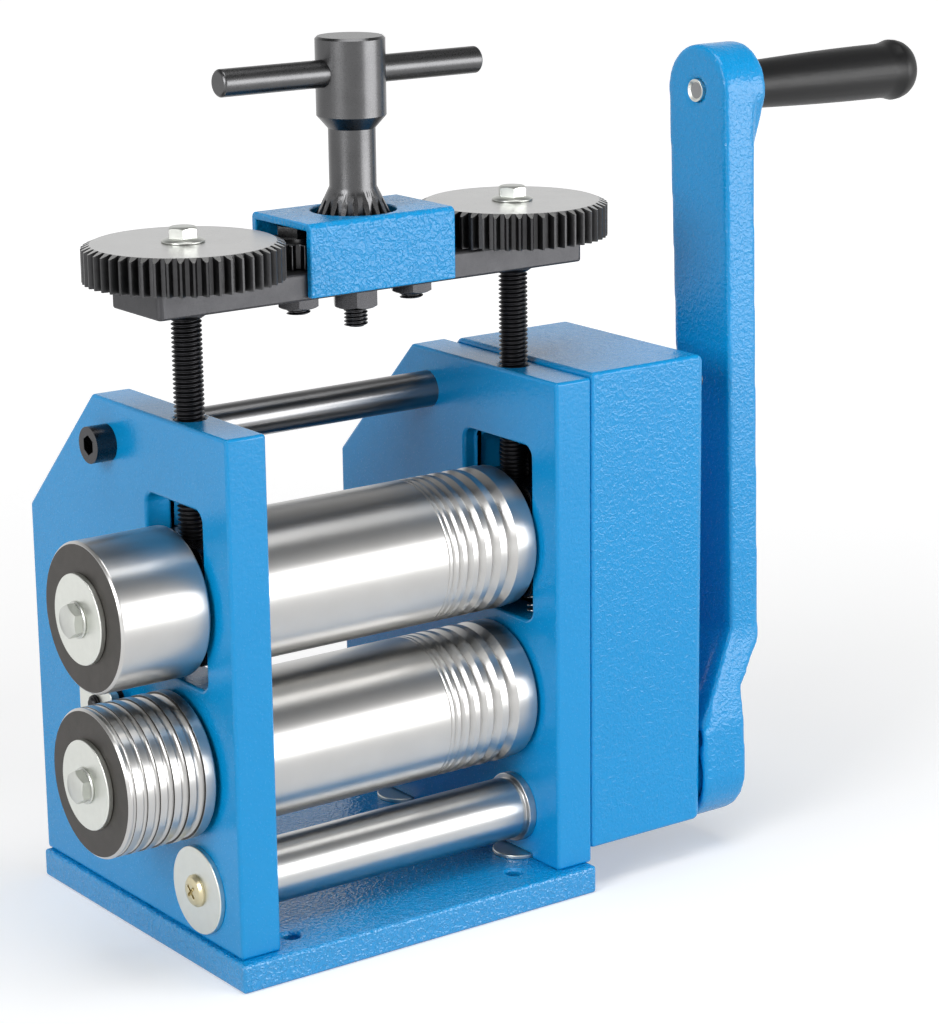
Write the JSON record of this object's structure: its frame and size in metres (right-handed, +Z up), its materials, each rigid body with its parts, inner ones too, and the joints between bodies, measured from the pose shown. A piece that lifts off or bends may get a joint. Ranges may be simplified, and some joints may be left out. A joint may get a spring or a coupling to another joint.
{
  "type": "rolling mill",
  "caption": "Hand cranked bench rolling mill with long main rollers, side rollers, a geared screw adjustment with T handle and a gear case.",
  "frame": {"origin": "middle of the base plate's underside, which is the middle of its four mounting holes", "axes": "+X along the rollers towards the gear case and crank, +Y from the front to the back, +Z up"},
  "size_m": [0.3529, 0.136, 0.3025],
  "materials": {
    "blue_paint": "semi-gloss blue paint with a fine hammered texture",
    "roller_steel": "ground and polished tool steel",
    "zinc": "bright zinc plate",
    "black_oxide": "black oxide on turned steel",
    "gear_steel": "machined faces with dark tooth flanks",
    "plain_steel": "machined steel, lightly oiled",
    "bronze": "sintered bronze bush",
    "dark_chrome": "dark bright-drawn rod",
    "grip_plastic": "satin black plastic",
    "yellow_zinc": "yellow zinc plate"
  },
  "bodies": {
    "stand": {"base_plate": "blue_paint", "foot_left_front": "zinc", "foot_left_back": "zinc", "foot_right_front": "zinc", "foot_right_back": "zinc", "left_frame": "blue_paint", "right_frame": "blue_paint", "left_bush": "bronze", "right_bush": "bronze", "top_tie_rod": "dark_chrome", "tie_screw_left": "black_oxide", "tie_screw_right": "black_oxide", "bottom_bar": "roller_steel", "bar_washer": "zinc", "bar_screw": "yellow_zinc", "keeper_plate": "zinc", "keeper_stud": "black_oxide", "gear_case": "blue_paint", "case_screw_top": "black_oxide", "case_screw_back": "black_oxide", "case_screw_low": "black_oxide", "crank_bush": "bronze", "idler_post": "plain_steel", "spring_left_front": "zinc", "spring_left_back": "zinc", "spring_right_front": "zinc", "spring_right_back": "zinc"},
    "lower_roll": {"lower_roller": "roller_steel", "lower_side_roller": "roller_steel", "lower_washer": "zinc", "lower_bolt": "zinc", "lower_long_gear": "plain_steel", "reduction_gear": "plain_steel"},
    "upper_roll": {"upper_roller": "roller_steel", "upper_side_roller": "roller_steel", "upper_washer": "zinc", "upper_bolt": "zinc", "upper_long_gear": "plain_steel"},
    "carriage": {"left_block": "black_oxide", "right_block": "black_oxide", "bridge_plate": "black_oxide", "idler_stud_left": "zinc", "idler_stud_right": "zinc", "handle_stud": "black_oxide", "pinion_cover": "blue_paint"},
    "left_lift_screw": {"left_screw": "black_oxide", "left_lift_gear": "gear_steel", "left_gear_bolt": "zinc"},
    "right_lift_screw": {"right_screw": "black_oxide", "right_lift_gear": "gear_steel", "right_gear_bolt": "zinc"},
    "left_lift_idler": {"left_idler": "gear_steel"},
    "right_lift_idler": {"right_idler": "gear_steel"},
    "handle": {"t_handle": "black_oxide", "t_bar": "black_oxide"},
    "crank": {"crank_arm": "blue_paint", "crank_shaft": "plain_steel", "grip_spindle": "plain_steel"},
    "crank_grip": {"grip": "grip_plastic"},
    "drive_idler": {"reduction_idler": "plain_steel"}
  },
  "joints": [
    {"name": "carriage_lift", "type": "slide", "parent": "stand", "child": "carriage", "axis": [0, 0, 1], "range_m": [-0.00594, 0.00198], "deforming": ["spring_left_front", "spring_left_back", "spring_right_front", "spring_right_back"]},
    {"name": "handle_turn", "type": "hinge", "parent": "carriage", "child": "handle", "pos_m": [0.0015, -0.0295, 0.24], "axis": [0, 0, 1], "range_deg": [-4150, 1385]},
    {"name": "left_idler_turn", "type": "hinge", "parent": "carriage", "child": "left_lift_idler", "pos_m": [-0.021, -0.0295, 0.234], "axis": [0, 0, 1], "range_deg": [-1386, 4151]},
    {"name": "right_idler_turn", "type": "hinge", "parent": "carriage", "child": "right_lift_idler", "pos_m": [0.024, -0.0295, 0.234], "axis": [0, 0, 1], "range_deg": [-1386, 4151]},
    {"name": "left_screw_turn", "type": "hinge", "parent": "carriage", "child": "left_lift_screw", "pos_m": [-0.0635, -0.0295, 0.225], "axis": [0, 0, 1], "range_deg": [-1495, 499]},
    {"name": "right_screw_turn", "type": "hinge", "parent": "carriage", "child": "right_lift_screw", "pos_m": [0.0665, -0.0295, 0.225], "axis": [0, 0, 1], "range_deg": [-1495, 499]},
    {"name": "crank_turn", "type": "hinge", "parent": "stand", "child": "crank", "pos_m": [0.125, -0.0455, 0.029], "axis": [1, 0, 0], "continuous": true},
    {"name": "grip_turn", "type": "hinge", "parent": "crank", "child": "crank_grip", "pos_m": [0.189, -0.03567, 0.2738], "axis": [1, 0, 0], "continuous": true},
    {"name": "drive_idler_turn", "type": "hinge", "parent": "stand", "child": "drive_idler", "pos_m": [0.105, -0.0254, 0.03147], "axis": [1, 0, 0], "continuous": true},
    {"name": "lower_roll_turn", "type": "hinge", "parent": "stand", "child": "lower_roll", "pos_m": [0.0015, -0.0295, 0.0695], "axis": [1, 0, 0], "continuous": true},
    {"name": "upper_roll_turn", "type": "hinge", "parent": "carriage", "child": "upper_roll", "pos_m": [0.0015, -0.0295, 0.1255], "axis": [1, 0, 0], "continuous": true}
  ],
  "couplings": [
    {"joint": "handle_turn", "follows": "carriage_lift", "rad_per_m": 11636},
    {"joint": "left_idler_turn", "follows": "carriage_lift", "rad_per_m": -11636},
    {"joint": "right_idler_turn", "follows": "carriage_lift", "rad_per_m": -11636},
    {"joint": "left_screw_turn", "follows": "carriage_lift", "rad_per_m": 4188.8},
    {"joint": "right_screw_turn", "follows": "carriage_lift", "rad_per_m": 4188.8},
    {"joint": "drive_idler_turn", "follows": "crank_turn", "ratio": -0.8},
    {"joint": "lower_roll_turn", "follows": "crank_turn", "ratio": 0.33333},
    {"joint": "upper_roll_turn", "follows": "crank_turn", "ratio": -0.33333}
  ]
}
